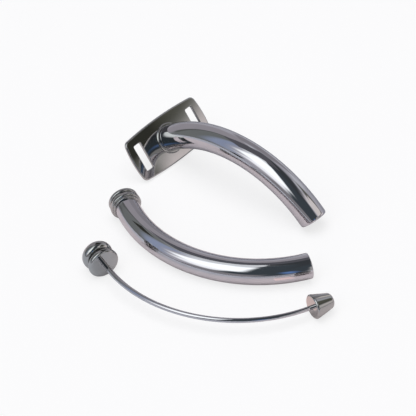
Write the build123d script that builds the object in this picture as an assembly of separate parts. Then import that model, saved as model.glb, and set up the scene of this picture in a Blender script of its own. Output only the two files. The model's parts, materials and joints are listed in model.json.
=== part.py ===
from build123d import *
from math import asin, atan2, cos, degrees, hypot, sin
import os

# A bright metal tracheostomy tube, taken apart: the outer cannula with its neck plate, the inner
# cannula that slides inside it, and the obturator that guides the outer one in. Millimetres.
# Each piece is drawn in its own frame: X leaves the head along the bore, Y points to the inside
# of the bend, Z runs across the neck, and x = 0 is the seat where the pieces meet when assembled.

# Tubes
bend_radius = 57.0
outer_diameter = 11.3
outer_wall = 0.55
outer_length = 82.8
inner_wall = 0.5
slide_clearance = 0.1
inner_lead = 1.5
outer_end_rounding = 0.45
inner_end_rounding = 0.2

# Neck plate, measured from corner to corner, with sides that bulge past the corners
plate_width = 42.0
plate_height = 18.0
plate_thickness = 1.4
plate_side_bulge = 1.2
plate_end_bulge = 1.0
plate_corner_radius = 2.4
plate_edge_rounding = 0.6
slot_length = 11.8
slot_width = 4.0
slot_margin = 3.0
slot_corner_radius = 0.7
slot_edge_rounding = 0.3

# Root collar, the sleeve that holds the outer tube in the plate
mouth_height = 1.6
mouth_wall = 0.65
mouth_rounding = 0.4
socket_depth = 1.2
socket_step = 0.2
sleeve_wall = 0.45
bead_width = 0.95
bead_height = 0.8
bead_rounding = 0.65

# Collar of the inner cannula
pilot_end_gap = 0.2
pilot_rounding = 0.35
rear_ring_flange = 0.6
rear_ring_width = 2.0
groove_wall = 0.8
groove_width = 0.9
front_ring_height = 0.65
front_ring_width = 1.9
ring_rounding = 0.5
entry_step = 0.2
entry_depth = 2.0

# Swivelling lock on the front of the plate
catch_thickness = 0.7
catch_radius = 2.0
catch_arm_width = 3.2
catch_gap = 0.3
catch_tip_gap = 0.3
catch_swing = 90.0
pivot_post_radius = 1.4
pivot_pin_radius = 0.9
pivot_pin_clearance = 0.06
pivot_head_radius = 1.6
pivot_head_height = 0.6
pivot_head_rounding = 0.4
pivot_end_play = 0.05

# Obturator
tip_lead = 4.0
tip_clearance = 0.2
tip_length = 8.4
tip_nose_diameter = 5.4
tip_nose_rounding = 1.7
tip_base_rounding = 0.7
wire_diameter = 2.1
wire_end_diameter = 1.7
wire_seat_depth = 4.0
knob_diameter = 12.2
knob_disc_width = 2.5
knob_waist_width = 1.3
knob_waist_depth = 1.9
knob_button_width = 5.2
knob_disc_rounding = 0.7
knob_button_rounding = 1.5
knob_end_rounding = 2.3

# Largest share of a wall that a rounding takes, where both of its edges are rounded or only one
two_sided = 0.45
one_sided = 0.85

# Where the three loose pieces lie, seen from above, and which way their heads point their bores
outer_place = (-48.9, 36.8)
outer_heading = -37.9
inner_place = (-61.6, -6.2)
inner_heading = -64.7
inner_touch_share = 0.66
obturator_place = (-67.0, -39.4)
obturator_heading = -56.5

# Radii that fit into one another
outer_radius = outer_diameter / 2
outer_bore_radius = outer_radius - outer_wall
inner_radius = outer_bore_radius - slide_clearance
inner_bore_radius = inner_radius - inner_wall
socket_radius = outer_radius + socket_step
mouth_radius = socket_radius + mouth_wall
sleeve_radius = outer_radius + sleeve_wall
pilot_radius = socket_radius - slide_clearance
entry_radius = inner_bore_radius + entry_step
rear_ring_radius = pilot_radius + rear_ring_flange
groove_radius = entry_radius + groove_wall
front_ring_radius = groove_radius + front_ring_height
knob_radius = knob_diameter / 2
knob_waist_radius = knob_radius - knob_waist_depth
tip_radius = outer_bore_radius - tip_clearance

# Stations along the bore, from the seat at x = 0
plate_front = mouth_height
plate_back = plate_front + plate_thickness
bend_start = plate_back + bead_height
pilot_back = socket_depth - pilot_end_gap
groove_back = -rear_ring_width
groove_front = groove_back - groove_width
collar_front = groove_front - front_ring_width
entry_end = collar_front + entry_depth
catch_back = (groove_front + groove_back + catch_thickness) / 2
catch_front = catch_back - catch_thickness

# How far each piece goes round the bend, in radians
outer_sweep = (outer_length - bead_height) / bend_radius
inner_sweep = outer_sweep + inner_lead / bend_radius
wire_sweep = outer_sweep + tip_lead / bend_radius

# Places on the plate, across the neck
slot_offset = plate_width / 2 - slot_margin - slot_width / 2
pivot_offset = mouth_radius + catch_gap + catch_radius


def soft(rounding, wall, share=two_sided):
    """Edge rounding, held to a share of the wall that it is cut into."""
    return min(rounding, share * wall)


def turned(outline):
    """Turn a closed outline of (x, radius, rounding) corners about the X axis."""
    face = make_face(Polyline(*[(x, radius) for x, radius, _ in outline], close=True))
    for x, radius, rounding in outline:
        if rounding:
            face = fillet(face.vertices().sort_by_distance((x, radius))[0], rounding)
    return revolve(face, Axis.X)


def bend_arc(sweep_angle):
    """Centre line of the bend that the tubes and the wire share."""
    return JernArc((bend_start, 0), (1, 0), bend_radius, degrees(sweep_angle))


def bent_tube(start, sweep_angle, radius, bore_radius, end_rounding):
    """Thin curved tube: straight through its collar, then round the bend, its end rounded outside."""
    path = Line((start, 0), (bend_start, 0)) + bend_arc(sweep_angle)
    section = Plane.YZ.offset(start) * (Circle(radius) - Circle(bore_radius))
    tube = sweep(section, path)
    far_end = tube.faces().sort_by_distance(path @ 1)[0]
    return fillet(far_end.outer_wire().edges(), soft(end_rounding, radius - bore_radius, one_sided))


def plate_outline():
    """Four arcs through the corners, each bulging outwards, with the corners rounded."""
    y = plate_height / 2
    z = plate_width / 2
    corners = [(-y, -z), (y, -z), (y, z), (-y, z)]
    crests = [(0, -z - plate_end_bulge), (y + plate_side_bulge, 0), (0, z + plate_end_bulge),
              (-y - plate_side_bulge, 0)]
    sides = [ThreePointArc(corners[i], crests[i], corners[(i + 1) % 4]) for i in range(4)]
    face = make_face(sides)
    return fillet(face.vertices(), plate_corner_radius)


def neck_plate():
    """Plate with rounded rim, two tape slots, the sleeve's hole and the rivet's hole."""
    front = Plane.YZ.offset(plate_front)
    plate = extrude(front * plate_outline(), plate_thickness)
    rim = plate.edges().group_by(Axis.X)
    plate = fillet(rim[0] + rim[-1], soft(plate_edge_rounding, plate_thickness))
    slot = fillet(Rectangle(slot_length, slot_width).vertices(), soft(slot_corner_radius, slot_width))
    for side in (-1, 1):
        plate -= extrude(front * Pos(0, side * slot_offset) * slot, plate_thickness)
    lips = [wire.edges() for face in plate.faces().filter_by(Plane.YZ) for wire in face.inner_wires()]
    plate = fillet([edge for lip in lips for edge in lip], soft(slot_edge_rounding, plate_thickness))
    plate -= extrude(front * Circle(sleeve_radius), plate_thickness)
    plate -= extrude(front * Pos(0, pivot_offset) * Circle(pivot_pin_radius), plate_thickness)
    return plate


def root_collar():
    """Sleeve through the plate: socketed mouth on the front, rounded bead round the tube's root."""
    return turned([
        (0, socket_radius, 0),
        (0, mouth_radius, soft(mouth_rounding, mouth_wall, one_sided)),
        (plate_front, mouth_radius, 0),
        (plate_front, sleeve_radius, 0),
        (plate_back, sleeve_radius, 0),
        (plate_back, outer_radius + bead_width, 0),
        (bend_start, outer_radius + bead_width, soft(bead_rounding, min(bead_height, bead_width), one_sided)),
        (bend_start, outer_radius, 0),
        (socket_depth, outer_radius, 0),
        (socket_depth, socket_radius, 0),
    ])


def inner_collar():
    """Two rings with the lock's groove between them, a pilot behind and a stepped entry in front."""
    front_rounding = soft(soft(ring_rounding, front_ring_width), front_ring_height, one_sided)
    rear_rounding = soft(soft(ring_rounding, rear_ring_width), rear_ring_flange, one_sided)
    return turned([
        (collar_front, entry_radius, 0),
        (collar_front, front_ring_radius, front_rounding),
        (groove_front, front_ring_radius, front_rounding),
        (groove_front, groove_radius, 0),
        (groove_back, groove_radius, 0),
        (groove_back, rear_ring_radius, rear_rounding),
        (0, rear_ring_radius, rear_rounding),
        (0, pilot_radius, 0),
        (pilot_back, pilot_radius, soft(pilot_rounding, pilot_radius - inner_radius, one_sided)),
        (pilot_back, inner_radius, 0),
        (entry_end, inner_radius, 0),
        (entry_end, entry_radius, 0),
    ])


def lock_catch():
    """Swivel catch, drawn locked with its hollow tip in the groove, then swung down to hang clear."""
    reach = pivot_offset - groove_radius - catch_tip_gap
    arm = Pos(0, -reach) * Rectangle(catch_arm_width, 2 * reach)
    shape = (Circle(catch_radius) + arm) - Pos(0, -pivot_offset) * Circle(groove_radius + catch_tip_gap)
    shape -= Circle(pivot_pin_radius + pivot_pin_clearance)
    catch = extrude(Plane.YZ.offset(catch_front) * Pos(0, pivot_offset) * shape, catch_thickness)
    pivot_axis = Axis((0, 0, pivot_offset), (1, 0, 0))
    return catch.rotate(pivot_axis, catch_swing)


def catch_pivot():
    """Shouldered rivet: pin through the plate, post up to the catch, pin through it, domed head."""
    head_under = catch_front - pivot_end_play
    post_top = catch_back + pivot_end_play
    dome = soft(pivot_head_rounding, pivot_head_height, one_sided)
    rivet = turned([
        (head_under - pivot_head_height, 0, 0),
        (head_under - pivot_head_height, pivot_head_radius, dome),
        (head_under, pivot_head_radius, 0),
        (head_under, pivot_pin_radius, 0),
        (post_top, pivot_pin_radius, 0),
        (post_top, pivot_post_radius, 0),
        (plate_front, pivot_post_radius, 0),
        (plate_front, pivot_pin_radius, 0),
        (plate_back, pivot_pin_radius, 0),
        (plate_back, 0, 0),
    ])
    return Pos(0, 0, pivot_offset) * rivet


def obturator_knob():
    """Spool knob: flat disc against the seat, narrow waist, and a thick rounded button to hold."""
    waist_back = -knob_disc_width
    waist_front = waist_back - knob_waist_width
    knob_end = waist_front - knob_button_width
    button_rounding = soft(soft(knob_button_rounding, knob_button_width), knob_waist_depth, one_sided)
    disc_rounding = soft(soft(knob_disc_rounding, knob_disc_width), knob_waist_depth, one_sided)
    return turned([
        (knob_end, 0, 0),
        (knob_end, knob_radius, soft(knob_end_rounding, knob_button_width)),
        (waist_front, knob_radius, button_rounding),
        (waist_front, knob_waist_radius, 0),
        (waist_back, knob_waist_radius, 0),
        (waist_back, knob_radius, disc_rounding),
        (0, knob_radius, disc_rounding),
        (0, wire_diameter / 2, 0),
        (-wire_seat_depth, wire_diameter / 2, 0),
        (-wire_seat_depth, 0, 0),
    ])


def obturator_wire():
    """Stiff wire: straight in the knob, thinning round the bend, and straight in the tip."""
    bend = bend_arc(wire_sweep)
    thick = Circle(wire_diameter / 2)
    thin = Circle(wire_end_diameter / 2)
    at_knob = Plane(bend @ 0, z_dir=bend % 0)
    at_tip = Plane(bend @ 1, z_dir=bend % 1)
    wire = sweep([at_knob * thick, at_tip * thin], bend, multisection=True)
    wire += extrude(at_knob * thick, -(bend_start + wire_seat_depth))
    return wire + extrude(at_tip * thin, wire_seat_depth)


def obturator_tip():
    """Blunt cone on the end of the wire."""
    tip = turned([
        (0, wire_end_diameter / 2, 0),
        (0, tip_radius, tip_base_rounding),
        (tip_length, tip_nose_diameter / 2, tip_nose_rounding),
        (tip_length, 0, 0),
        (wire_seat_depth, 0, 0),
        (wire_seat_depth, wire_end_diameter / 2, 0),
    ])
    return Pos(bend_arc(wire_sweep) @ 1) * Rot(0, 0, degrees(wire_sweep)) * tip


def outer_pose():
    """Stands as a bridge on the plate's lower edge and the tube's tip, with the bend downwards."""
    tip_round = soft(outer_end_rounding, outer_wall, one_sided)
    rim_round = soft(plate_edge_rounding, plate_thickness)
    hollow_side = bend_radius - outer_radius + tip_round
    tip_x = bend_start + hollow_side * sin(outer_sweep) - tip_round * cos(outer_sweep)
    tip_y = bend_radius - hollow_side * cos(outer_sweep) - tip_round * sin(outer_sweep)
    rim_x = plate_front + rim_round
    rim_y = plate_height / 2 + plate_side_bulge - rim_round
    span = hypot(tip_x - rim_x, tip_y - rim_y)
    rise = atan2(tip_y - rim_y, tip_x - rim_x) - asin((rim_round - tip_round) / span)
    return Rot(0, 0, outer_heading) * Rot(0, -degrees(rise), 0) * Rot(-90, 0, 0)


def inner_pose():
    """Lies on its side, held up a little at one end by the collar's rear ring."""
    touch = inner_touch_share * inner_sweep
    ring_distance = bend_start * sin(touch) + bend_radius * (1 - cos(touch))
    tilt = degrees(asin((rear_ring_radius - inner_radius) / ring_distance))
    turn = degrees(touch)
    return Rot(0, 0, inner_heading) * Rot(0, 0, turn) * Rot(tilt, 0, 0) * Rot(0, 0, -turn)


def obturator_pose():
    """Lies on the knob's two rims and the base of its tip."""
    tip_y = bend_radius * (1 - cos(wire_sweep))
    rest_radius = obturator_tip().bounding_box().max.Z
    roll = degrees(asin((knob_radius - rest_radius) / tip_y))
    return Rot(0, 0, obturator_heading) * Rot(-roll, 0, 0)


def stand(pieces, pose, place):
    """Location that puts a group of pieces at its place, with its lowest point on the table."""
    lowest = Compound([pose * piece for piece in pieces.values()]).bounding_box().min.Z
    return Pos(place[0], place[1], -lowest) * pose


outer_pieces = {
    "neck_plate": neck_plate(),
    "outer_tube": bent_tube(socket_depth, outer_sweep, outer_radius, outer_bore_radius, outer_end_rounding),
    "root_collar": root_collar(),
    "lock_catch": lock_catch(),
    "catch_pivot": catch_pivot(),
}
inner_pieces = {
    "inner_tube": bent_tube(entry_end, inner_sweep, inner_radius, inner_bore_radius, inner_end_rounding),
    "inner_collar": inner_collar(),
}
obturator_pieces = {
    "obturator_knob": obturator_knob(),
    "obturator_wire": obturator_wire(),
    "obturator_tip": obturator_tip(),
}

groups = [
    (outer_pieces, stand(outer_pieces, outer_pose(), outer_place)),
    (inner_pieces, stand(inner_pieces, inner_pose(), inner_place)),
    (obturator_pieces, stand(obturator_pieces, obturator_pose(), obturator_place)),
]
layout = {name: place * piece for pieces, place in groups for name, piece in pieces.items()}

# The whole layout is centred over the origin, standing on z = 0
middle = Compound(list(layout.values())).bounding_box().center()
centring = Pos(-middle.X, -middle.Y, 0)

os.makedirs("parts", exist_ok=True)
for name, piece in layout.items():
    export_step(centring * piece, f"parts/{name}.step")
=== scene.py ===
# %% [markdown]
# A metal tracheostomy tube holds the windpipe open. It comes apart into an outer cannula with its neck
# plate, an inner cannula that slides inside it and is taken out to be cleaned, and an obturator, the blunt
# guide that fills the outer cannula while it goes in. All of it is bright steel, so the lesson is about
# clean curved walls, small roundings that catch the light, and what the polished metal mirrors. Every place
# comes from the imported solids. The sizes are theirs too, with a few fuller roundings, and are written in
# millimetres, which MM turns into Blender's metres.

# %% Load the frame
import json
from math import asin, atan2, cos, degrees, hypot, pi, radians, sin, sqrt, tan

import bmesh
import bpy
from mathutils import Matrix, Quaternion, Vector


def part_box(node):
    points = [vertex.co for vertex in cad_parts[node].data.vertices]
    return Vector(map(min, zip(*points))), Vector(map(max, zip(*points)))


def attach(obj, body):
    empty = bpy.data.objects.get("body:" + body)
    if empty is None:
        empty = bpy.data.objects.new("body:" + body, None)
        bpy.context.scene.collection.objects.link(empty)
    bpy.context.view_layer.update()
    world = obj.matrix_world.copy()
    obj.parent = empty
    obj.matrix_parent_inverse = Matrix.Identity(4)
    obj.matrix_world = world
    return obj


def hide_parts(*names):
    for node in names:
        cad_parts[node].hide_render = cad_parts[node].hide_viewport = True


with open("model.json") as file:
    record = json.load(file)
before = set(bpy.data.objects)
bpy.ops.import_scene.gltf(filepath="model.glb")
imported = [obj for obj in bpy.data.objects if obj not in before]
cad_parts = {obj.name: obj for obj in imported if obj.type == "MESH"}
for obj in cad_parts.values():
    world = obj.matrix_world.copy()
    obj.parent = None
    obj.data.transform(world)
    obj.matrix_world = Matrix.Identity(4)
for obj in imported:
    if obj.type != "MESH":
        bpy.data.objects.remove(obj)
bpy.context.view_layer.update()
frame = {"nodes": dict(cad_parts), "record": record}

MM = 0.001
print("nodes:", ", ".join(sorted(frame["nodes"])))

# %% [markdown]
# Each of the three loose pieces is easiest to model straight and level, in a frame of its own: X runs down
# the bore from the head, Y points to the inside of the bend, and Z runs across the neck. It could also be
# modelled where it lies, but then every edge would be picked at an odd angle. The record's mounts say where
# these frames lie, so two small helpers read a mount and turn a point and two directions into a matrix.

# %% Read the mounts
mounts = {mount["name"]: mount for mount in frame["record"]["mounts"]}
openings = {opening["name"]: opening for opening in frame["record"]["physics"]["openings"]}


def spot(name):
    """Where a mount is, and which way it points."""
    return Vector(mounts[name]["pos_m"]), Vector(mounts[name]["axis"])


def own_frame(origin, along, inward):
    """Matrix that carries a piece from its own frame to its place on the table."""
    x = along.normalized()
    y = (inward - inward.project(x)).normalized()
    return Matrix.Translation(origin) @ Matrix((x, y, x.cross(y))).transposed().to_4x4()


print("mounts:", ", ".join(mounts))

# %% [markdown]
# The outer cannula hangs on its socket and its two tape slots, and the inner one on its entry and its far
# end. The obturator has only one mount, but it lies on its knob and its tip, and the drop from one to the
# other gives its roll. With these three matrices a finished piece goes to its place in one move.

# %% Find the frames of the three loose pieces
socket_depth = mounts["cannula_socket"]["dims"]["length_mm"]
entry_depth = mounts["cannula_entry"]["dims"]["length_mm"]
collar_length = 4.8
bend_radius = 57.0
bend_start = 3.8
wire_bend_length = 86.0
wire_sweep = wire_bend_length / bend_radius

socket, out_of_socket = spot("cannula_socket")
across_neck = spot("tape_slot_right")[0] - spot("tape_slot_left")[0]
mouth = socket + out_of_socket * socket_depth / 2 * MM
outer_place = own_frame(mouth, -out_of_socket, across_neck.cross(-out_of_socket))

entry, out_of_entry = spot("cannula_entry")
inner_end = sum((Vector(corner) for corner in openings["inner_end"]["box_m"]), Vector()) / 2
collar_back = entry - out_of_entry * (collar_length - entry_depth / 2) * MM
inner_place = own_frame(collar_back, -out_of_entry, inner_end - entry)

seat, along_wire = spot("obturator_seat")
tip_low, tip_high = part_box("obturator_tip")
wire_rise = bend_radius * MM * (1 - cos(wire_sweep))
roll = asin((seat.z - (tip_low.z + tip_high.z) / 2) / wire_rise)
level_inward = Vector((0, 0, 1)).cross(along_wire)
obturator_place = own_frame(seat, along_wire, level_inward * cos(roll) - Vector((0, 0, sin(roll))))
for title, place in (("outer", outer_place), ("inner", inner_place), ("obturator", obturator_place)):
    print(title, "seat in mm:", [round(c / MM, 2) for c in place.translation])

# %% [markdown]
# A few moves come back for every piece, so they are written once. An operator works on whatever is
# selected, and a new primitive comes selected all over, so each start clears the selection first. Edges are
# then picked in code, by where they lie, as a hand would click them.

# %% Moves in edit mode
SEAM = 1e-6


def start_piece(name, add_primitive, **settings):
    """Clear the selection, add one primitive, name it and open it for editing."""
    bpy.ops.object.select_all(action="DESELECT")
    add_primitive(**settings)
    piece = bpy.context.object
    piece.name = name
    bpy.ops.object.transform_apply(location=True, rotation=True, scale=True)
    bpy.ops.object.mode_set(mode="EDIT")
    bpy.ops.mesh.select_mode(type="VERT")
    bpy.ops.mesh.select_all(action="SELECT")
    return piece


def pick(piece, test, kind="EDGE"):
    """In edit mode, select only the vertices or edges that lie where the test says."""
    bpy.ops.mesh.select_mode(type=kind)
    bpy.ops.mesh.select_all(action="DESELECT")
    mesh = bmesh.from_edit_mesh(piece.data)
    for item in mesh.verts if kind == "VERT" else mesh.edges:
        ends = [item] if kind == "VERT" else item.verts
        item.select = all(test(end.co) for end in ends)
    mesh.select_flush_mode()
    bmesh.update_edit_mesh(piece.data)


def extrude(move):
    """Pull new geometry out of what is selected."""
    bpy.ops.mesh.extrude_region_move(TRANSFORM_OT_translate={"value": move})


def close_skin():
    """Weld the seams and turn every face outwards."""
    bpy.ops.mesh.select_all(action="SELECT")
    bpy.ops.mesh.remove_doubles(threshold=SEAM)
    bpy.ops.mesh.normals_make_consistent(inside=False)


print("seams closer than", SEAM / MM, "mm are welded")

# %% [markdown]
# A finished piece is carried to the table, shaded smooth up to a set angle, and given weighted normals, so
# that flat faces stay flat beside their roundings. Each one also keeps its own straight coordinates as an
# attribute, because polishing lines follow the piece and not the table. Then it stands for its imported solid
# and rides on its body.

# %% Moves that finish a piece
SMOOTH_ANGLE = radians(35)
LARGE_FACE_WEIGHT = 100


def apply_modifier(piece, kind, **settings):
    """Add one modifier to the piece in hand and apply it."""
    modifier = piece.modifiers.new(kind.title(), kind)
    for setting, value in settings.items():
        setattr(modifier, setting, value)
    bpy.ops.object.modifier_apply(modifier=modifier.name)


def keep_own_place(piece, straighten=None):
    """Store each vertex's place in the piece's own straight frame, for patterns that follow the piece."""
    own = piece.data.attributes.new("own_place", "FLOAT_VECTOR", "POINT")
    for vertex, value in zip(piece.data.vertices, own.data):
        value.vector = straighten(vertex.co) if straighten else vertex.co


def lay_down(piece, place, node, body="cannula_set"):
    """Carry a finished piece to the table, smooth it, and let it stand for its solid."""
    piece.matrix_world = place
    bpy.ops.object.transform_apply(location=True, rotation=True, scale=True)
    bpy.ops.object.shade_smooth_by_angle(angle=SMOOTH_ANGLE)
    apply_modifier(piece, "WEIGHTED_NORMAL", keep_sharp=True, weight=LARGE_FACE_WEIGHT)
    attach(piece, body)
    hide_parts(node)
    low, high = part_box(node)
    gaps = []
    for axis in range(3):
        reach = [vertex.co[axis] for vertex in piece.data.vertices]
        gaps += [abs(min(reach) - low[axis]), abs(max(reach) - high[axis])]
    print(f"{piece.name}: {len(piece.data.polygons)} faces, box within {max(gaps) / MM:.2f} mm of its solid")


print("edges under", round(degrees(SMOOTH_ANGLE)), "degrees are shaded smooth")

# %% [markdown]
# Both cannulas are thin tubes, drawn straight and bent on a former. A sweep along a curve would do, but a
# circle that is extruded and then spun about the middle of the bend is the same move that the bending
# machine makes, and it leaves even rings. The wall comes from Solidify, inwards, so that the outside keeps
# its size. The far rim is beveled by a share and not by a length: a share of the wall one way and of the
# last ring the other way, so the end gets a long soft nose, as a buffing wheel leaves it.

# %% A bending machine for the tubes
TURN_STEPS = 96
BEND_STEPS = 72
ROUND_STEPS = 6


def unbend(point):
    """Where a point of a bent tube lay before the tube was bent."""
    past = point.x - bend_start * MM
    if past <= 0:
        return point
    middle = bend_radius * MM - point.y
    return Vector((bend_start * MM + bend_radius * MM * atan2(past, middle),
                   bend_radius * MM - hypot(past, middle), point.z))


def bend_tube(name, start, sweep, radius, wall, end_share):
    """Extrude a circle down the bore, spin it round the bend, give it a wall and round its far end."""
    tube = start_piece(name, bpy.ops.mesh.primitive_circle_add, vertices=TURN_STEPS, radius=radius * MM,
                       location=(start * MM, 0, 0), rotation=(0, pi / 2, 0))
    extrude(Vector((bend_start - start, 0, 0)) * MM)
    bpy.ops.mesh.spin(steps=BEND_STEPS, angle=-sweep, axis=(0, 0, 1),
                      center=(bend_start * MM, bend_radius * MM, 0))
    close_skin()
    bpy.ops.object.mode_set(mode="OBJECT")
    apply_modifier(tube, "SOLIDIFY", thickness=wall * MM, offset=-1, use_even_offset=True)
    bpy.ops.object.mode_set(mode="EDIT")
    end = (bend_start + sweep * bend_radius) * MM
    mid_wall = (radius - wall / 2) * MM

    def on_end_rim(point):
        """Whether a point lies on the outer edge of the far end."""
        straight = unbend(point)
        return abs(straight.x - end) < SEAM and hypot(straight.y, straight.z) > mid_wall

    pick(tube, on_end_rim)
    bpy.ops.mesh.bevel(offset_type="PERCENT", offset_pct=end_share, segments=ROUND_STEPS, affect="EDGES")
    bpy.ops.object.mode_set(mode="OBJECT")
    keep_own_place(tube, unbend)
    return tube


print("tubes have", TURN_STEPS, "steps round and", BEND_STEPS, "along the bend")

# %% [markdown]
# The outer tube's end is well rounded, because it goes into the neck, and the inner one is cut nearly
# square. Both could be one mesh with their collars, but on the real tube they are separate pieces brazed
# together, and as separate meshes each keeps its own polish.

# %% Bend the two tubes
outer_radius = 5.65
outer_wall = 0.55
outer_bend_length = 82.0
outer_end_share = 82
outer_tube = bend_tube("outer_cannula_tube", socket_depth, outer_bend_length / bend_radius,
                       outer_radius, outer_wall, outer_end_share)
lay_down(outer_tube, outer_place, "outer_tube")

inner_radius = 5.0
inner_wall = 0.5
inner_start = entry_depth - collar_length
inner_bend_length = 83.5
inner_end_share = 35
inner_tube = bend_tube("inner_cannula_tube", inner_start, inner_bend_length / bend_radius,
                       inner_radius, inner_wall, inner_end_share)
lay_down(inner_tube, inner_place, "inner_tube")

# %% [markdown]
# The collars, the knob and the blunt tip are turned on a lathe, and modelling can follow the lathe: half a
# section is drawn by extruding one vertex from corner to corner, its corners are rounded with a vertex
# bevel, and the line is spun once round the axis. Cylinders joined by Booleans would leave a sharp seam at
# every step, where this gives one clean skin. A ring's section closes on itself, and a solid's section
# starts and ends on the axis.

# %% A lathe for the turned pieces
def turn_profile(name, corners):
    """Draw (x, radius, rounding) corners with one vertex, round them, and spin them round the bore."""
    piece = start_piece(name, bpy.ops.mesh.primitive_plane_add, size=MM)
    bpy.ops.mesh.merge(type="CENTER")
    points = [Vector((x, radius, 0)) * MM for x, radius, _ in corners]
    is_ring = corners[0][1] > 0
    bpy.ops.transform.translate(value=points[0])
    stops = points[1:] + points[:1] if is_ring else points[1:]
    for here, there in zip(points, stops):
        extrude(there - here)
    bpy.ops.mesh.select_all(action="SELECT")
    bpy.ops.mesh.remove_doubles(threshold=SEAM)
    for i, (_, _, rounding) in enumerate(corners):
        if rounding:
            corner = points[i]
            back = points[i - 1] - corner
            ahead = points[(i + 1) % len(points)] - corner
            pick(piece, lambda point: (point - corner).length < SEAM, "VERT")
            bpy.ops.mesh.bevel(offset=rounding * MM / tan(back.angle(ahead) / 2), segments=ROUND_STEPS,
                               affect="VERTICES", profile=0.5)
    bpy.ops.mesh.select_all(action="SELECT")
    bpy.ops.mesh.spin(steps=TURN_STEPS, angle=2 * pi, center=(0, 0, 0), axis=(1, 0, 0), use_auto_merge=True)
    close_skin()
    bpy.ops.object.mode_set(mode="OBJECT")
    keep_own_place(piece)
    return piece


print("rounded corners have", ROUND_STEPS, "steps")

# %% [markdown]
# The root collar is the sleeve that is brazed through the neck plate. Behind the plate it shows as a thin
# bright bead round the tube's root, and in front it is a short mouth with a socket for the inner cannula.
# It is one turned ring, so ten corners on the lathe make it.

# %% Turn the root collar
plate_front = 1.6
plate_back = 3.0
socket_radius = mounts["cannula_socket"]["dims"]["r_mm"]
mouth_radius = 6.5
mouth_rounding = 0.4
sleeve_radius = 6.1
bead_radius = 6.6
bead_rounding = 0.65
root_collar = turn_profile("outer_cannula_root_collar", [
    (0, socket_radius, 0),
    (0, mouth_radius, mouth_rounding),
    (plate_front, mouth_radius, 0),
    (plate_front, sleeve_radius, 0),
    (plate_back, sleeve_radius, 0),
    (plate_back, bead_radius, 0),
    (bend_start, bead_radius, bead_rounding),
    (bend_start, outer_radius, 0),
    (socket_depth, outer_radius, 0),
    (socket_depth, socket_radius, 0),
])
lay_down(root_collar, outer_place, "root_collar")

# %% [markdown]
# The inner cannula's collar has two rings with a groove between them, which the swivel catch drops into,
# and a short pilot behind them that finds the socket. The rings are rounded almost to half circles, so that
# each one carries its own streak of light, as the worn rings of the real one do.

# %% Turn the inner cannula's collar
entry_radius = mounts["cannula_entry"]["dims"]["r_mm"]
front_ring_radius = 6.15
rear_ring_radius = 6.35
ring_front_rounding = 0.9
ring_groove_rounding = 0.62
ring_back_rounding = 0.56
groove_front = -2.9
groove_back = -2.0
groove_radius = 5.5
pilot_back = 1.0
pilot_radius = 5.75
pilot_rounding = 0.35
inner_collar = turn_profile("inner_cannula_collar", [
    (-collar_length, entry_radius, 0),
    (-collar_length, front_ring_radius, ring_front_rounding),
    (groove_front, front_ring_radius, ring_groove_rounding),
    (groove_front, groove_radius, 0),
    (groove_back, groove_radius, 0),
    (groove_back, rear_ring_radius, ring_groove_rounding),
    (0, rear_ring_radius, ring_back_rounding),
    (0, pilot_radius, 0),
    (pilot_back, pilot_radius, pilot_rounding),
    (pilot_back, inner_radius, 0),
    (inner_start, inner_radius, 0),
    (inner_start, entry_radius, 0),
])
lay_down(inner_collar, inner_place, "inner_collar")

# %% [markdown]
# The obturator's knob is a spool: a flat disc that stops against the tube's mouth, a narrow waist, and a
# thick rounded button for the fingers. A sphere and a disc could stand for it, but one section keeps the
# soft step from the button into the waist, which is what the light follows.

# %% Turn the obturator's knob
wire_radius = 1.05
wire_seat_depth = 4.0
knob_radius = 6.1
knob_waist_radius = 4.2
knob_disc_width = 2.5
knob_waist_width = 1.3
knob_button_width = 5.2
button_end_rounding = 2.9
button_waist_rounding = 1.8
disc_waist_rounding = 1.1
disc_face_rounding = 0.8
waist_front = -knob_disc_width - knob_waist_width
knob_end = waist_front - knob_button_width
obturator_knob = turn_profile("obturator_knob_spool", [
    (knob_end, 0, 0),
    (knob_end, knob_radius, button_end_rounding),
    (waist_front, knob_radius, button_waist_rounding),
    (waist_front, knob_waist_radius, 0),
    (-knob_disc_width, knob_waist_radius, 0),
    (-knob_disc_width, knob_radius, disc_waist_rounding),
    (0, knob_radius, disc_face_rounding),
    (0, wire_radius, 0),
    (-wire_seat_depth, wire_radius, 0),
    (-wire_seat_depth, 0, 0),
])
lay_down(obturator_knob, obturator_place, "obturator_knob")

# %% [markdown]
# The tip at the other end of the wire is a blunt cone that fills the outer tube's end and opens the way for
# it. It is turned straight, like the knob, and then carried to the end of the bend by one more matrix.

# %% Turn the obturator's tip
wire_end_radius = 0.85
tip_length = 8.4
tip_base_radius = 4.9
tip_base_rounding = 0.7
tip_nose_radius = 2.7
tip_nose_rounding = 1.7
obturator_tip = turn_profile("obturator_blunt_tip", [
    (tip_length, 0, 0),
    (tip_length, tip_nose_radius, tip_nose_rounding),
    (0, tip_base_radius, tip_base_rounding),
    (0, wire_end_radius, 0),
    (wire_seat_depth, wire_end_radius, 0),
    (wire_seat_depth, 0, 0),
])
wire_end = Vector((bend_start + bend_radius * sin(wire_sweep), bend_radius * (1 - cos(wire_sweep)), 0)) * MM
at_wire_end = Matrix.Translation(wire_end) @ Matrix.Rotation(wire_sweep, 4, "Z")
lay_down(obturator_tip, obturator_place @ at_wire_end, "obturator_tip")

# %% [markdown]
# The wire is ground a little thinner towards its tip. The tubes' spin would keep one thickness, so here a
# curve with a round bevel suits better, since each of its points carries its own radius: straight in the
# knob, one cubic arc round the bend, and straight again in the tip. A handle of four thirds of the radius,
# times the tangent of a quarter of the sweep, makes the arc round.

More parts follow.
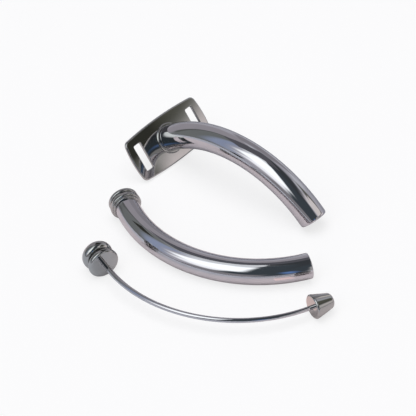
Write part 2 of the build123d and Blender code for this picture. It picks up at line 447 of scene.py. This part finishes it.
# %% Draw the obturator's wire
bpy.ops.object.select_all(action="DESELECT")
bpy.ops.curve.primitive_bezier_curve_add()
obturator_wire = bpy.context.object
obturator_wire.name = "obturator_curved_wire"
line = obturator_wire.data
line.dimensions = "3D"
line.resolution_u = BEND_STEPS
line.bevel_depth = wire_radius * MM
line.bevel_resolution = ROUND_STEPS
line.use_fill_caps = True
out = Vector((1, 0, 0))
away = Vector((cos(wire_sweep), sin(wire_sweep), 0))
bend_in = Vector((bend_start, 0, 0)) * MM
arc_handle = 4 / 3 * tan(wire_sweep / 4) * bend_radius * MM
seat_handle = wire_seat_depth / 3 * MM
thinned = wire_end_radius / wire_radius
knots = [
    (bend_in - out * (bend_start + wire_seat_depth) * MM, out, seat_handle, seat_handle, 1),
    (bend_in, out, seat_handle, arc_handle, 1),
    (wire_end, away, arc_handle, seat_handle, thinned),
    (wire_end + away * wire_seat_depth * MM, away, seat_handle, seat_handle, thinned),
]
line.splines[0].bezier_points.add(len(knots) - len(line.splines[0].bezier_points))
for knot, (point, heading, behind, before, share) in zip(line.splines[0].bezier_points, knots):
    knot.handle_left_type = knot.handle_right_type = "FREE"
    knot.co = point
    knot.handle_left = point - heading * behind
    knot.handle_right = point + heading * before
    knot.radius = share
bpy.ops.object.convert(target="MESH")
keep_own_place(obturator_wire, unbend)
lay_down(obturator_wire, obturator_place, "obturator_wire")

# %% [markdown]
# The neck plate lies against the neck. It is stamped from sheet, with four bulging sides that run into
# rounded corners. A scaled rectangle with beveled corners would have straight sides, so the outline is
# drawn from arcs. Only one corner's middle has to be worked out: it lies where two circles cross, each
# smaller than its side's arc by the corner's radius, and that makes all arcs meet without a kink.

# %% Work out the plate's outline
plate_half_height = 9.0
plate_half_width = 21.0
side_bulge = 1.2
end_bulge = 1.0
corner_radius = 2.4


def bulge_radius(half_chord, bulge):
    """Radius of the arc that stands out by its bulge from a chord."""
    return (half_chord ** 2 + bulge ** 2) / (2 * bulge)


side_radius = bulge_radius(plate_half_width, side_bulge)
end_radius = bulge_radius(plate_half_height, end_bulge)
side_middle = Vector((plate_half_height + side_bulge - side_radius, 0))
end_middle = Vector((0, plate_half_width + end_bulge - end_radius))
to_end = end_middle - side_middle
side_reach = side_radius - corner_radius
end_reach = end_radius - corner_radius
along_line = (side_reach ** 2 - end_reach ** 2 + to_end.length_squared) / (2 * to_end.length)
off_line = sqrt(side_reach ** 2 - along_line ** 2)
line_heading = to_end.normalized()
line_side = Vector((-line_heading.y, line_heading.x))
corner_middle = side_middle + line_heading * along_line + line_side * off_line
side_turn = (corner_middle - side_middle).angle(Vector((1, 0)))
end_turn = (corner_middle - end_middle).angle(Vector((0, 1)))
print("side arcs of", round(side_radius), "mm and end arcs of", round(end_radius), "mm")

# %% [markdown]
# A quarter of the outline is spun from one vertex, arc by arc, and mirrored twice, so that all four
# quarters are the same. Then it is filled, extruded to the sheet's thickness, and its rim is rounded on
# both faces, since nothing sharp may touch the skin.

# %% Stamp the neck plate
rim_rounding = 0.6
side_steps = 24
corner_steps = 12
end_steps = 16
quarter_arcs = [
    (side_middle, side_turn, side_steps),
    (corner_middle, pi / 2 - side_turn - end_turn, corner_steps),
    (end_middle, end_turn, end_steps),
]
neck_plate = start_piece("outer_cannula_neck_plate", bpy.ops.mesh.primitive_plane_add, size=MM)
bpy.ops.mesh.merge(type="CENTER")
bpy.ops.transform.translate(value=Vector((plate_front, plate_half_height + side_bulge, 0)) * MM)
for middle, turn, steps in quarter_arcs:
    bpy.ops.mesh.spin(steps=steps, angle=-turn, axis=(1, 0, 0), center=(0, middle.x * MM, middle.y * MM))
bpy.ops.object.mode_set(mode="OBJECT")
apply_modifier(neck_plate, "MIRROR", use_axis=(False, True, True), merge_threshold=SEAM)
bpy.ops.object.mode_set(mode="EDIT")
bpy.ops.mesh.select_all(action="SELECT")
bpy.ops.mesh.remove_doubles(threshold=SEAM)
bpy.ops.mesh.edge_face_add()
extrude(Vector((plate_back - plate_front, 0, 0)) * MM)
close_skin()
for face in (plate_front, plate_back):
    pick(neck_plate, lambda point: abs(point.x - face * MM) < SEAM)
    bpy.ops.mesh.bevel(offset=rim_rounding * MM, segments=ROUND_STEPS, affect="EDGES")
bpy.ops.object.mode_set(mode="OBJECT")
print("plate outline:", len(neck_plate.data.vertices), "vertices")

# %% [markdown]
# A slot near each end of the plate takes the tape that is tied round the neck. Real slots are punched
# through, and a Boolean with a block in the slot's shape is the same stroke. Insetting faces would need a
# grid of faces there first, which a filled outline doesn't have. The lips of both slots are rounded
# afterwards, so that they don't cut the tape.

# %% Punch the slots
slot_offset = across_neck.length / 2 / MM
slot_half_length = 5.9
slot_half_width = 2.0
slot_corner_radius = 0.7
slot_lip_rounding = 0.3
lip_slack = 0.01
plate_middle = (plate_front + plate_back) / 2
punch_depth = 4.0


def combine(piece, other, operation="DIFFERENCE"):
    """Punch the other shape out of the piece, or join it on, and clear the other shape away."""
    bpy.ops.object.select_all(action="DESELECT")
    piece.select_set(True)
    bpy.context.view_layer.objects.active = piece
    apply_modifier(piece, "BOOLEAN", operation=operation, object=other, solver="EXACT")
    bpy.data.objects.remove(other)


def on_slot_lip(point):
    """Whether a point lies on the edge of a slot, on either face of the plate."""
    on_face = min(abs(point.x - face * MM) for face in (plate_front, plate_back)) < SEAM
    in_width = abs(abs(point.z) / MM - slot_offset) < slot_half_width + lip_slack
    return on_face and in_width and abs(point.y) / MM < slot_half_length + lip_slack


for side in (-1, 1):
    slot = start_piece("slot_punch", bpy.ops.mesh.primitive_cube_add, size=2 * MM,
                       location=Vector((plate_middle, 0, side * slot_offset)) * MM,
                       scale=(punch_depth / 2, slot_half_length, slot_half_width))
    bpy.ops.mesh.select_mode(type="EDGE")
    bpy.ops.mesh.select_all(action="DESELECT")
    mesh = bmesh.from_edit_mesh(slot.data)
    for edge in mesh.edges:
        edge.select = abs(edge.verts[0].co.x - edge.verts[1].co.x) > SEAM
    bmesh.update_edit_mesh(slot.data)
    bpy.ops.mesh.bevel(offset=slot_corner_radius * MM, segments=ROUND_STEPS, affect="EDGES")
    bpy.ops.object.mode_set(mode="OBJECT")
    combine(neck_plate, slot)
bpy.ops.object.mode_set(mode="EDIT")
pick(neck_plate, on_slot_lip)
bpy.ops.mesh.bevel(offset=slot_lip_rounding * MM, segments=ROUND_STEPS, affect="EDGES")
bpy.ops.object.mode_set(mode="OBJECT")
print("slots", 2 * slot_half_length, "x", 2 * slot_half_width, "mm")

# %% [markdown]
# Two round holes go through the plate as well, a wide one for the root collar's sleeve and a small one for
# the catch's rivet. They are filled by those pieces, so their edges stay square and tight.

# %% Punch the round holes
pivot_offset = 8.8
pin_radius = 0.9


def round_bar(name, radius, length, along, across=0):
    """A round bar that lies along the bore, with its middle so far along it and so far across the neck."""
    bar = start_piece(name, bpy.ops.mesh.primitive_cylinder_add, vertices=TURN_STEPS,
                      radius=radius * MM, depth=length * MM,
                      location=Vector((along, 0, across)) * MM, rotation=(0, pi / 2, 0))
    bpy.ops.object.mode_set(mode="OBJECT")
    return bar


combine(neck_plate, round_bar("hole_punch", sleeve_radius, punch_depth, plate_middle))
combine(neck_plate, round_bar("hole_punch", pin_radius, punch_depth, plate_middle, pivot_offset))
keep_own_place(neck_plate)
lay_down(neck_plate, outer_place, "neck_plate")

# %% [markdown]
# On the plate's front, out of the photo's sight, sits the swivel catch that keeps the inner cannula in. Its
# hollow tip drops into the collar's groove. It is cut from sheet: a disc joined to an arm, with the
# groove's round and the pin's hole punched out and the edges broken. Booleans suit it, because its outline
# is made of just these shapes. It is modelled closed, with its arm towards the bore, and hangs open here, a
# quarter turn away.

# %% Cut the catch
catch_thickness = 0.7
catch_back = (groove_front + groove_back + catch_thickness) / 2
catch_front = catch_back - catch_thickness
catch_middle = (catch_front + catch_back) / 2
catch_radius = 2.0
catch_arm_width = 3.2
catch_arm_length = 4.0
catch_tip_gap = 0.3
pin_clearance = 0.06
broken_edge = 0.1
broken_edge_steps = 3
broken_edge_angle = radians(50)
lock_catch = round_bar("outer_cannula_lock_catch", catch_radius, catch_thickness, catch_middle)
arm = start_piece("catch_arm", bpy.ops.mesh.primitive_cube_add, size=MM,
                  location=Vector((catch_middle, 0, -catch_arm_length / 2)) * MM,
                  scale=(catch_thickness, catch_arm_width, catch_arm_length))
bpy.ops.object.mode_set(mode="OBJECT")
combine(lock_catch, arm, "UNION")
combine(lock_catch, round_bar("groove_punch", groove_radius + catch_tip_gap, punch_depth, catch_middle,
                              -pivot_offset))
combine(lock_catch, round_bar("pin_punch", pin_radius + pin_clearance, punch_depth, catch_middle))
apply_modifier(lock_catch, "BEVEL", width=broken_edge * MM, segments=broken_edge_steps, limit_method="ANGLE",
               angle_limit=broken_edge_angle)
keep_own_place(lock_catch)
at_pivot = outer_place @ Matrix.Translation((0, 0, pivot_offset * MM))
lay_down(lock_catch, at_pivot @ Matrix.Rotation(pi / 2, 4, "X"), "lock_catch", "catch")

# %% [markdown]
# The catch turns on a shouldered rivet: a post that stands it off the plate, a pin through it, and a head
# that keeps it on, with a little play at both faces. It is one more turned piece, solid on its axis.

# %% Turn the catch's rivet
head_height = 0.6
head_radius = 1.6
head_rounding = 0.4
post_radius = 1.4
end_play = 0.05
head_under = catch_front - end_play
post_top = catch_back + end_play
catch_pivot = turn_profile("outer_cannula_catch_rivet", [
    (head_under - head_height, 0, 0),
    (head_under - head_height, head_radius, head_rounding),
    (head_under, head_radius, 0),
    (head_under, pin_radius, 0),
    (post_top, pin_radius, 0),
    (post_top, post_radius, 0),
    (plate_front, post_radius, 0),
    (plate_front, pin_radius, 0),
    (plate_back, pin_radius, 0),
    (plate_back, 0, 0),
])
lay_down(catch_pivot, at_pivot, "catch_pivot")

# %% [markdown]
# Materials, table and room are all built from nodes, so two helpers come first. Colours are written as the
# hex values that a colour picker shows, and one function turns them to the linear values that Blender
# renders with. The other adds a node with its settings and links in one line, which keeps a node tree
# readable as text.

# %% Helpers for colours and nodes
def linear(hex_colour, strength=1):
    """Linear RGBA of an sRGB hex colour, at a strength that may go past white for a light."""
    parts = [int(hex_colour[i:i + 2], 16) / 255 for i in (1, 3, 5)]
    return [strength * (c / 12.92 if c <= 0.04045 else ((c + 0.055) / 1.055) ** 2.4) for c in parts] + [1]


def add_node(tree, kind, inputs=None, **settings):
    """Add a node, set its properties, and fill or link its inputs by name or number."""
    node = tree.nodes.new(kind)
    for setting, value in settings.items():
        setattr(node, setting, value)
    for socket_name, value in (inputs or {}).items():
        if isinstance(value, bpy.types.NodeSocket):
            tree.links.new(value, node.inputs[socket_name])
        else:
            node.inputs[socket_name].default_value = value
    return node


print("middle grey is", round(linear("#808080")[0], 3), "in linear light")

# %% [markdown]
# Every surface is stainless steel that was polished to a mirror on a buffing wheel. A mirror has hardly any
# colour of its own, so its look comes from what it reflects, but a real one is never perfect: the wheel
# leaves fine lines along the way it ran and rounds flat faces over, hands leave faint smears, and the wall
# keeps a slight waviness. A plain metallic shader would look like a drawing of steel, so these are its
# pattern, each sized from the real thing.

# %% Mix a buffed steel
# A smear is about half a fingertip wide, and the waviness of the wall is about as long.
smear_size = 6.0
smear_detail = 3
smear_start = 0.35
smear_full = 0.75
smear_dulling = 2.0
wave_strength = 0.1
wave_depth = 0.1
# Real polishing lines lie about 0.05 mm apart. That is too fine to show here, so they are eight times
# coarser.
line_spacing = 0.4
line_detail = 2
line_dulling = 0.6
line_strength = 0.05
line_depth = 0.02


def buffed_steel(name, bright, dull, wheel_run, roughness, crown=(0, 0)):
    """Mirror steel. wheel_run stretches the polishing lines along the piece's own X, Y and Z, and crown
    is how much the wheel has rounded a flat face over, as a curvature along the piece's own Y and Z."""
    material = bpy.data.materials.new(name)
    material.use_nodes = True
    tree = material.node_tree
    shader = tree.nodes["Principled BSDF"]
    shader.inputs["Metallic"].default_value = 1
    own = add_node(tree, "ShaderNodeAttribute", attribute_name="own_place").outputs["Vector"]
    smears = add_node(tree, "ShaderNodeTexNoise", {
        "Vector": own, "Scale": 1 / (smear_size * MM), "Detail": smear_detail}).outputs["Fac"]
    stretched = add_node(tree, "ShaderNodeMapping", {"Vector": own, "Scale": wheel_run}).outputs["Vector"]
    lines = add_node(tree, "ShaderNodeTexNoise", {
        "Vector": stretched, "Scale": 1 / (line_spacing * MM), "Detail": line_detail}).outputs["Fac"]
    colour = add_node(tree, "ShaderNodeMix", {"Factor": smears, "A": linear(bright), "B": linear(dull)},
                      data_type="RGBA")
    tree.links.new(colour.outputs["Result"], shader.inputs["Base Color"])
    smeared = add_node(tree, "ShaderNodeMapRange", {
        "Value": smears, "From Min": smear_start, "From Max": smear_full,
        "To Min": roughness, "To Max": roughness * smear_dulling})
    lined = add_node(tree, "ShaderNodeMath", {
        0: lines, 1: roughness * line_dulling, 2: smeared.outputs["Result"]}, operation="MULTIPLY_ADD")
    tree.links.new(lined.outputs["Value"], shader.inputs["Roughness"])
    bent = add_node(tree, "ShaderNodeVectorMath", {0: own, 1: (0, -crown[0] / 2, -crown[1] / 2)},
                    operation="MULTIPLY").outputs["Vector"]
    fall = add_node(tree, "ShaderNodeVectorMath", {0: bent, 1: own},
                    operation="DOT_PRODUCT").outputs["Value"]
    crowned = add_node(tree, "ShaderNodeBump", {"Height": fall, "Strength": 1, "Distance": 1})
    wavy = add_node(tree, "ShaderNodeBump", {
        "Height": smears, "Strength": wave_strength, "Distance": wave_depth * MM,
        "Normal": crowned.outputs["Normal"]})
    scratched = add_node(tree, "ShaderNodeBump", {
        "Height": lines, "Strength": line_strength, "Distance": line_depth * MM,
        "Normal": wavy.outputs["Normal"]})
    tree.links.new(scratched.outputs["Normal"], shader.inputs["Normal"])
    return material


print("polishing lines are drawn", line_spacing, "mm apart")

# %% [markdown]
# The three kinds of piece met the wheel in three ways, so there are three steels. A drawn tube is buffed
# along its length, a turned piece while it spins, and the stamped plate across its width. One steel on all
# pieces would be quicker, but then the fine lines would cross the form somewhere.

# %% Give each piece its steel
# Drawn tube: the brightest and palest of the three, with long clean streaks that run with the bend.
tube_steel = buffed_steel("stainless_steel_tube_buffed_lengthwise", bright="#D2D1D4", dull="#C3C2C6",
                          wheel_run=(0.15, 1, 1), roughness=0.03)
# Turned steel: a shade darker and the sharpest mirror, with narrow rings of light round each piece.
turned_steel = buffed_steel("stainless_steel_turned_and_buffed", bright="#C0C0BE", dull="#A6A7A5",
                            wheel_run=(1, 0.12, 0.12), roughness=0.02)
# Stamped sheet: a broad mirror, rounded over by the wheel, so that what it shows bends at its ends.
crown_radius = 120
bow_radius = 210
plate_steel = buffed_steel("stainless_steel_stamped_and_buffed", bright="#C4C4C2", dull="#B4B4B2",
                           wheel_run=(1, 1, 0.15), roughness=0.03,
                           crown=(1 / (crown_radius * MM), 1 / (bow_radius * MM)))
finishes = {
    tube_steel: (outer_tube, inner_tube, obturator_wire),
    turned_steel: (root_collar, inner_collar, obturator_knob, obturator_tip, catch_pivot),
    plate_steel: (neck_plate, lock_catch),
}
for steel, pieces in finishes.items():
    for piece in pieces:
        piece.data.materials.clear()
        piece.data.materials.append(steel)
    print(steel.name, "on", len(pieces), "pieces")

# %% [markdown]
# The set lies on a white table, which is none of its pieces. One wide plane is enough, with edges far outside
# the picture. A curved backdrop would show in the steel as a band.

# %% Lay the table
table_width = 6000
bpy.ops.object.select_all(action="DESELECT")
bpy.ops.mesh.primitive_plane_add(size=table_width * MM)
table = bpy.context.object
table.name = "table"
print("table", table_width, "mm wide")

# %% [markdown]
# To the camera the table glows nearly white, with a share of real shading left so that a soft shadow stays.
# The steel in the photo doesn't mirror white, though. Its lower sides go from grey at the back through rose
# to a cool pale grey in front. That is painted light and shade on the white table: grey shade at the back and
# paler light towards the window. Only the rays that come from the steel meet the table in those tints, so the
# camera still sees it white.

# %% Paint light and shade on the table for the steel
shading_share = 0.25
to_window = (-0.5, -0.866, 0)
# Painted shade at the back of the table and painted light towards the window, seen only in the steel.
painted_shade_back_tint = "#A6A5AC"
painted_window_light_tints = [
    # where the painted light begins and is full, in mm towards the window
    (-45, 5, "#E5DADB"),
    (30, 60, "#D0D2D9"),
]
table_top = bpy.data.materials.new("white_table")
table_top.use_nodes = True
tree = table_top.node_tree
tree.nodes.clear()
white = add_node(tree, "ShaderNodeEmission", {"Color": linear("#FFFFFF"), "Strength": 1}).outputs[0]
matt = add_node(tree, "ShaderNodeBsdfDiffuse", {"Color": linear("#F4F2F4")}).outputs[0]
on_table = add_node(tree, "ShaderNodeTexCoord").outputs["Object"]
towards = add_node(tree, "ShaderNodeVectorMath", {0: on_table, 1: to_window},
                   operation="DOT_PRODUCT").outputs["Value"]
tint = linear(painted_shade_back_tint)
for start, end, colour in painted_window_light_tints:
    nearness = add_node(tree, "ShaderNodeMapRange", {
        "Value": towards, "From Min": start * MM, "From Max": end * MM},
        interpolation_type="SMOOTHSTEP").outputs["Result"]
    tint = add_node(tree, "ShaderNodeMix", {"Factor": nearness, "A": tint, "B": linear(colour)},
                    data_type="RGBA").outputs["Result"]
# The table as the steel sees it: painted light and shade in place of its white.
painted_light_tinted_table = add_node(tree, "ShaderNodeBsdfDiffuse", {"Color": tint}).outputs[0]
seen_by = add_node(tree, "ShaderNodeLightPath").outputs
shaded = add_node(tree, "ShaderNodeMixShader", {0: shading_share, 1: white, 2: matt}).outputs[0]
camera_or_light = add_node(tree, "ShaderNodeMixShader", {
    0: seen_by["Is Camera Ray"], 1: matt, 2: shaded}).outputs[0]
mirrored = add_node(tree, "ShaderNodeMixShader", {
    0: seen_by["Is Glossy Ray"], 1: camera_or_light, 2: painted_light_tinted_table}).outputs[0]
add_node(tree, "ShaderNodeOutputMaterial", {"Surface": mirrored})
table.data.materials.append(table_top)
print(1 + len(painted_window_light_tints), "tints from the back of the table to its front")

# %% [markdown]
# The room is what the steel shows, so it is laid out with care. Each thing in it is one soft-edged patch of
# the world's sky, placed by its bearing from the front, positive to the right, and its height. A photo of a
# room could light the set too, but patches can be moved until each streak sits where it does on the real
# steel. First the direction of a ray is turned into those two angles, and a mask says how far it lies
# inside a band of either.

# %% Read directions in the room
world = bpy.data.worlds.new("room_with_a_window")
bpy.context.scene.world = world
world.use_nodes = True
tree = world.node_tree
tree.nodes.clear()
direction = add_node(tree, "ShaderNodeTexCoord").outputs["Generated"]
toward = add_node(tree, "ShaderNodeSeparateXYZ", {"Vector": direction}).outputs
forward = add_node(tree, "ShaderNodeMath", {0: toward["Y"], 1: -1}, operation="MULTIPLY").outputs[0]
bearing = add_node(tree, "ShaderNodeMath", {0: toward["X"], 1: forward}, operation="ARCTAN2").outputs[0]
height = add_node(tree, "ShaderNodeMath", {0: toward["Z"]}, operation="ARCSINE").outputs[0]


def within(angle, middle, half, edge):
    """Soft mask of the directions whose angle lies within a half width of the middle."""
    off = add_node(tree, "ShaderNodeMath", {0: angle, 1: radians(middle)}, operation="SUBTRACT").outputs[0]
    size = add_node(tree, "ShaderNodeMath", {0: off}, operation="ABSOLUTE").outputs[0]
    return add_node(tree, "ShaderNodeMapRange", {
        "Value": size, "From Min": radians(half + edge / 2), "From Max": radians(half - edge / 2)},
        interpolation_type="SMOOTHSTEP").outputs["Result"]


print("the room is read by bearing and height")

# %% [markdown]
# A tall window in front and to the left gives the long white streaks, a dark corner beside it the charcoal
# bands, and a small blue pane the blue glints. Later patches lie over earlier ones. Strengths above 1 make
# up for what the steel takes away. The camera itself sees plain white instead of the room.

# %% Light the room
wall_colour = "#BFBEC6"
ceiling_colour = "#F8FCFF"
ceiling_from = 60
ceiling_edge = 14
room = [
    # bearing, height, half width, half height and soft edge in degrees, lean, colour, strength
    (-102, 28, 22, 39, 24, -0.5, "#7E8281", 1),  # grey cupboard on the left
    (-83, 36, 9, 29, 16, -0.4, "#A2AEC8", 1),  # blue grey curtain next to it
    (13, 54, 39, 51, 12, 0.22, "#474F55", 1),  # dark corner in front
    (114, 73, 69, 20, 16, 1.2, "#43474B", 1),  # dark ceiling on the right
    (77, 36, 16, 14, 13, -0.3, "#FFF8F4", 1.1),  # warm doorway on the right
    (-39, 37, 17, 17, 12, 0.5, "#FBFDFF", 1.5),  # lower half of the window
    (-40, 57, 28, 21, 12, 0.1, "#F9FEFF", 1.8),  # upper half of the window
    (18, 18, 4, 9, 8, -0.2, "#6F92CA", 1),  # small blue pane
    (69, 13, 38, 19, 4, 0.1, "#B2B1B0", 1),  # low grey sill on the right
    (97, 8, 15, 10, 10, 0, "#F8EEF0", 1),  # pale end of that sill, low in the plate
    (-28, 6, 23, 10, 4, 0.9, "#929094", 1),  # grey edge below the window
    (135, 24, 10, 30, 8, -1.2, "#D4D5DC", 1),  # pale strip behind, on the right
    (90, 34, 22, 10.5, 8, 0.3, "#3E3E39", 1),  # dark board that fills the plate
    (106, 34, 11, 11, 14, 0.3, "#6C6C64", 1),  # lighter end of that board
    (75, 18, 5, 7, 7, 0, "#6A6A64", 1),  # foot of that board
    (160, 31, 18, 18, 5, 0.2, "#99969C", 1),  # grey wall behind
    (-155, 38, 26, 35, 9, -0.6, "#ABA7AD", 1),  # lighter wall behind, on the left
    (-126, 38, 3, 30, 7, -0.6, "#5A5D5A", 1),  # dark gap between wall and cupboard
]
above = within(height, 90, 90 - ceiling_from, ceiling_edge)
sky = add_node(tree, "ShaderNodeMix", {
    "Factor": above, "A": linear(wall_colour), "B": linear(ceiling_colour)},
    data_type="RGBA").outputs["Result"]
for middle, up, half_width, half_height, edge, lean, colour, strength in room:
    slanted = add_node(tree, "ShaderNodeMath", {0: height, 1: -lean, 2: bearing},
                       operation="MULTIPLY_ADD").outputs[0]
    patch = add_node(tree, "ShaderNodeMath", {
        0: within(slanted, middle - lean * up, half_width, edge), 1: within(height, up, half_height, edge)},
        operation="MULTIPLY").outputs[0]
    sky = add_node(tree, "ShaderNodeMix", {"Factor": patch, "A": sky, "B": linear(colour, strength)},
                   data_type="RGBA").outputs["Result"]
lit = add_node(tree, "ShaderNodeBackground", {"Color": sky, "Strength": 1}).outputs[0]
plain = add_node(tree, "ShaderNodeBackground", {"Color": linear("#FFFFFF"), "Strength": 1}).outputs[0]
to_camera = add_node(tree, "ShaderNodeLightPath").outputs["Is Camera Ray"]
seen = add_node(tree, "ShaderNodeMixShader", {0: to_camera, 1: lit, 2: plain}).outputs[0]
add_node(tree, "ShaderNodeOutputWorld", {"Surface": seen})
bpy.context.scene.view_settings.view_transform = "Standard"
print(len(room), "patches of light and dark round the set")

# %% [markdown]
# A patch of sky shows in every piece alike, so what only one piece should mirror is a card close to it, as in
# a product studio. A dark one overhead gives the outer tube its charcoal band, a pale one beside that tube's
# end brightens the rounding there, a rose one lies on the table before the tip's base as painted light, a
# glowing patch that lifts the shade there in the tip's reflection, and a small dark one hangs behind the
# knob. Only the steel shows them: the camera doesn't see them, and they cast no light or shadow on the table.

# %% Hang the cards
def hang_card(name, middle, size, facing, colour, strength=1):
    """A plain card that mirrors in the steel, out of the camera's sight and casting no shadow."""
    bpy.ops.object.select_all(action="DESELECT")
    bpy.ops.mesh.primitive_plane_add(size=MM, location=Vector(middle) * MM,
                                     rotation=Vector(facing).to_track_quat("Z", "Y").to_euler())
    card = bpy.context.object
    card.name = name
    card.scale = (*size, 1)
    bpy.ops.object.transform_apply(location=True, rotation=True, scale=True)
    paper = bpy.data.materials.new(name)
    paper.use_nodes = True
    paper.node_tree.nodes.clear()
    tone = add_node(paper.node_tree, "ShaderNodeEmission", {"Color": linear(colour), "Strength": strength})
    add_node(paper.node_tree, "ShaderNodeOutputMaterial", {"Surface": tone.outputs[0]})
    card.data.materials.append(paper)
    card.visible_camera = card.visible_diffuse = card.visible_shadow = False
    print(name, "at", middle, "mm")


hang_card("dark_card", middle=(-5.5, 52.5, 190), size=(165, 95), facing=(0, 0, 1), colour="#64646A")
hang_card("pale_card", middle=(69.7, -7.3, 31.5), size=(24, 17), facing=(0.806, -0.071, 0.588),
          colour="#F6EFEC")
# The rose card is painted light: a glowing patch on the table before the tip's base, seen only in the steel,
# that lifts the shade there.
hang_card("rose_painted_light_patch", middle=(31.5, -49, 0.05), size=(9, 9), facing=(0, 0, 1), colour="#FFE4E2",
          strength=1.05)
hang_card("shade_card", middle=(-40, -12, 26), size=(14, 12), facing=(-0.24, -0.77, -0.59), colour="#3C3C38")

# %% [markdown]
# One wide soft lamp lights the table from straight above, for an even white with a soft shadow. A sun would
# give a hard edge to the shadow, and a small lamp a bright spot. The steel doesn't mirror it, because the
# room is enough.

# %% Hang the lamp
lamp_height = 900
lamp_width = 900
lamp_power = 5
bpy.ops.object.light_add(type="AREA", location=(0, 0, lamp_height * MM))
lamp = bpy.context.object
lamp.data.shape = "DISK"
lamp.data.size = lamp_width * MM
lamp.data.energy = lamp_power
lamp.visible_glossy = False
print("lamp", lamp_width, "mm wide")

# %% [markdown]
# The camera stands about half a metre off and looks down at some forty degrees, a little from the right,
# with a long lens, so the tubes keep their proportions. It is rolled by about three degrees, as the photo's
# was. Its angles were fitted to the places of the pieces in the photo, and its lens comes from the same fit,
# in pixels of the picture's width.

# %% Set up the camera
camera_height_angle = radians(40.608)
camera_bearing = radians(4.431)
camera_roll = radians(-2.923)
camera_distance = 530.6
camera_target = Vector((-1.309, 7.183, 0))
nearest_seen = 10
focal_pixels = 1316.5
image_pixels = 416
film_width = 36
bpy.ops.object.camera_add()
camera = bpy.context.object
bpy.context.scene.camera = camera
camera.data.sensor_width = film_width
camera.data.lens = focal_pixels / image_pixels * film_width
camera.data.clip_start = nearest_seen * MM
back = Vector((sin(camera_bearing) * cos(camera_height_angle),
               -cos(camera_bearing) * cos(camera_height_angle),
               sin(camera_height_angle)))
camera.location = (camera_target + back * camera_distance) * MM
camera.rotation_mode = "QUATERNION"
camera.rotation_quaternion = back.to_track_quat("Z", "Y") @ Quaternion((0, 0, 1), camera_roll)
print("lens", round(camera.data.lens, 1), "mm")
